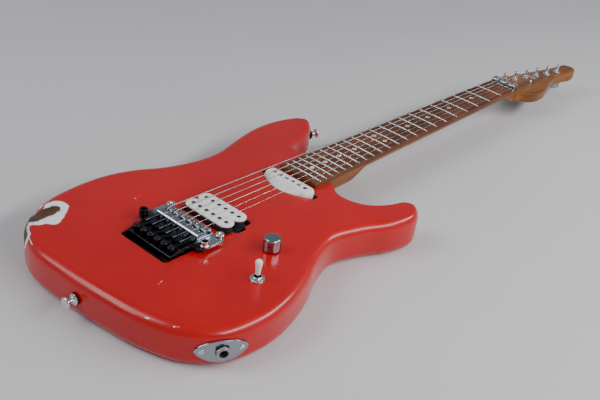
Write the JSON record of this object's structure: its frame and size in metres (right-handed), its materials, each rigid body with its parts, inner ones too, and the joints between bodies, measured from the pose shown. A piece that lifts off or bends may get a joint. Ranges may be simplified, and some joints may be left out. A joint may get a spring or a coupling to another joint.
{
  "type": "electric guitar",
  "caption": "Solid-body electric guitar with a bolt-on neck, locking nut, pivoting double-locking tremolo, humbucker and single-coil pickups, and working controls and tuners.",
  "frame": {"origin": "the point on the flat back of the guitar straight under the line where the strings cross the bridge saddles, on the centreline", "axes": "+X along the strings to the headstock, +Y to the bass side, +Z out of the top"},
  "size_m": [1.0155, 0.3063, 0.0679],
  "materials": {
    "red_lacquer": "satin red lacquer over wood, worn at the edges",
    "roasted_maple": "oiled roasted maple",
    "rosewood": "oiled dark red-brown fingerboard with steel frets",
    "chrome": "polished chrome plating",
    "steel": "plain steel",
    "string_wire": "nickel-plated steel wire",
    "ivory_plastic": "off-white moulded plastic",
    "black_plastic": "matt black plastic"
  },
  "bodies": {
    "instrument": {"body": "red_lacquer", "neck": "roasted_maple", "fingerboard": "rosewood", "truss_rod": "steel", "neck_plate": "chrome", "locking_nut": "chrome", "string_tree": "chrome", "tuner_housing_1": "chrome", "string_1": "string_wire", "tuner_housing_2": "chrome", "string_2": "string_wire", "tuner_housing_3": "chrome", "string_3": "string_wire", "tuner_housing_4": "chrome", "string_4": "string_wire", "tuner_housing_5": "chrome", "string_5": "string_wire", "tuner_housing_6": "chrome", "string_6": "string_wire", "pivot_stud_treble": "steel", "pivot_stud_bass": "steel", "spring_claw": "steel", "tremolo_spring_1": "steel", "tremolo_spring_2": "steel", "tremolo_spring_3": "steel", "humbucker_base": "steel", "volume_pot": "steel", "humbucker_coils": "ivory_plastic", "neck_pickup": "ivory_plastic", "toggle_switch": "chrome", "jack_plate": "chrome", "output_jack": "steel", "strap_button_tail": "chrome", "strap_button_horn": "chrome", "spring_cover": "black_plastic", "control_cover": "black_plastic"},
    "tremolo": {"tremolo_plate": "chrome", "sustain_block": "steel", "saddles": "chrome", "arm_socket": "chrome"},
    "fine_tuner_1": {"fine_tuner_1": "chrome"},
    "tuner_button_1": {"tuner_button_1": "chrome"},
    "tuner_post_1": {"tuner_post_1": "chrome"},
    "fine_tuner_2": {"fine_tuner_2": "chrome"},
    "tuner_button_2": {"tuner_button_2": "chrome"},
    "tuner_post_2": {"tuner_post_2": "chrome"},
    "fine_tuner_3": {"fine_tuner_3": "chrome"},
    "tuner_button_3": {"tuner_button_3": "chrome"},
    "tuner_post_3": {"tuner_post_3": "chrome"},
    "fine_tuner_4": {"fine_tuner_4": "chrome"},
    "tuner_button_4": {"tuner_button_4": "chrome"},
    "tuner_post_4": {"tuner_post_4": "chrome"},
    "fine_tuner_5": {"fine_tuner_5": "chrome"},
    "tuner_button_5": {"tuner_button_5": "chrome"},
    "tuner_post_5": {"tuner_post_5": "chrome"},
    "fine_tuner_6": {"fine_tuner_6": "chrome"},
    "tuner_button_6": {"tuner_button_6": "chrome"},
    "tuner_post_6": {"tuner_post_6": "chrome"},
    "volume_knob": {"volume_knob": "chrome"},
    "toggle_lever": {"toggle_lever": "ivory_plastic"}
  },
  "joints": [
    {"name": "tremolo_pivot", "type": "hinge", "parent": "instrument", "child": "tremolo", "pos_m": [0.0037, 0, 0.049], "axis": [0, 1, 0], "range_deg": [-3, 26], "stiffness_Nm_per_rad": 13, "deforming": ["tremolo_spring_1", "tremolo_spring_2", "tremolo_spring_3", "string_1", "string_2", "string_3", "string_4", "string_5", "string_6"]},
    {"name": "fine_tuner_1_turn", "type": "hinge", "parent": "tremolo", "child": "fine_tuner_1", "pos_m": [-0.0495, -0.02625, 0.0515], "axis": [0, 0, 1], "range_deg": [-720, 720]},
    {"name": "tuner_button_1_turn", "type": "hinge", "parent": "instrument", "child": "tuner_button_1", "pos_m": [0.8068, -0.0157, 0.0227], "axis": [0.2606, 0.9655, 0], "continuous": true},
    {"name": "tuner_post_1_turn", "type": "hinge", "parent": "instrument", "child": "tuner_post_1", "pos_m": [0.8068, -0.0157, 0.0445], "axis": [0, 0, 1], "continuous": true},
    {"name": "fine_tuner_2_turn", "type": "hinge", "parent": "tremolo", "child": "fine_tuner_2", "pos_m": [-0.0495, -0.01575, 0.0515], "axis": [0, 0, 1], "range_deg": [-720, 720]},
    {"name": "tuner_button_2_turn", "type": "hinge", "parent": "instrument", "child": "tuner_button_2", "pos_m": [0.78316, -0.00932, 0.0227], "axis": [0.2606, 0.9655, 0], "continuous": true},
    {"name": "tuner_post_2_turn", "type": "hinge", "parent": "instrument", "child": "tuner_post_2", "pos_m": [0.78316, -0.00932, 0.0445], "axis": [0, 0, 1], "continuous": true},
    {"name": "fine_tuner_3_turn", "type": "hinge", "parent": "tremolo", "child": "fine_tuner_3", "pos_m": [-0.0495, -0.00525, 0.0515], "axis": [0, 0, 1], "range_deg": [-720, 720]},
    {"name": "tuner_button_3_turn", "type": "hinge", "parent": "instrument", "child": "tuner_button_3", "pos_m": [0.75952, -0.00294, 0.0227], "axis": [0.2606, 0.9655, 0], "continuous": true},
    {"name": "tuner_post_3_turn", "type": "hinge", "parent": "instrument", "child": "tuner_post_3", "pos_m": [0.75952, -0.00294, 0.0445], "axis": [0, 0, 1], "continuous": true},
    {"name": "fine_tuner_4_turn", "type": "hinge", "parent": "tremolo", "child": "fine_tuner_4", "pos_m": [-0.0495, 0.00525, 0.0515], "axis": [0, 0, 1], "range_deg": [-720, 720]},
    {"name": "tuner_button_4_turn", "type": "hinge", "parent": "instrument", "child": "tuner_button_4", "pos_m": [0.73588, 0.00344, 0.0227], "axis": [0.2606, 0.9655, 0], "continuous": true},
    {"name": "tuner_post_4_turn", "type": "hinge", "parent": "instrument", "child": "tuner_post_4", "pos_m": [0.73588, 0.00344, 0.0445], "axis": [0, 0, 1], "continuous": true},
    {"name": "fine_tuner_5_turn", "type": "hinge", "parent": "tremolo", "child": "fine_tuner_5", "pos_m": [-0.0495, 0.01575, 0.0515], "axis": [0, 0, 1], "range_deg": [-720, 720]},
    {"name": "tuner_button_5_turn", "type": "hinge", "parent": "instrument", "child": "tuner_button_5", "pos_m": [0.71224, 0.00982, 0.0227], "axis": [0.2606, 0.9655, 0], "continuous": true},
    {"name": "tuner_post_5_turn", "type": "hinge", "parent": "instrument", "child": "tuner_post_5", "pos_m": [0.71224, 0.00982, 0.0445], "axis": [0, 0, 1], "continuous": true},
    {"name": "fine_tuner_6_turn", "type": "hinge", "parent": "tremolo", "child": "fine_tuner_6", "pos_m": [-0.0495, 0.02625, 0.0515], "axis": [0, 0, 1], "range_deg": [-720, 720]},
    {"name": "tuner_button_6_turn", "type": "hinge", "parent": "instrument", "child": "tuner_button_6", "pos_m": [0.6886, 0.0162, 0.0227], "axis": [0.2606, 0.9655, 0], "continuous": true},
    {"name": "tuner_post_6_turn", "type": "hinge", "parent": "instrument", "child": "tuner_post_6", "pos_m": [0.6886, 0.0162, 0.0445], "axis": [0, 0, 1], "continuous": true},
    {"name": "volume_turn", "type": "hinge", "parent": "instrument", "child": "volume_knob", "pos_m": [0.038, -0.084, 0.0525], "axis": [0, 0, 1], "range_deg": [0, 270]},
    {"name": "pickup_select", "type": "hinge", "parent": "instrument", "child": "toggle_lever", "pos_m": [-0.011, -0.111, 0.0425], "axis": [0, 1, 0], "range_deg": [-14, 14]}
  ],
  "couplings": [
    {"joint": "tuner_post_1_turn", "follows": "tuner_button_1_turn", "ratio": 0.055556},
    {"joint": "tuner_post_2_turn", "follows": "tuner_button_2_turn", "ratio": 0.055556},
    {"joint": "tuner_post_3_turn", "follows": "tuner_button_3_turn", "ratio": 0.055556},
    {"joint": "tuner_post_4_turn", "follows": "tuner_button_4_turn", "ratio": 0.055556},
    {"joint": "tuner_post_5_turn", "follows": "tuner_button_5_turn", "ratio": 0.055556},
    {"joint": "tuner_post_6_turn", "follows": "tuner_button_6_turn", "ratio": 0.055556}
  ]
}
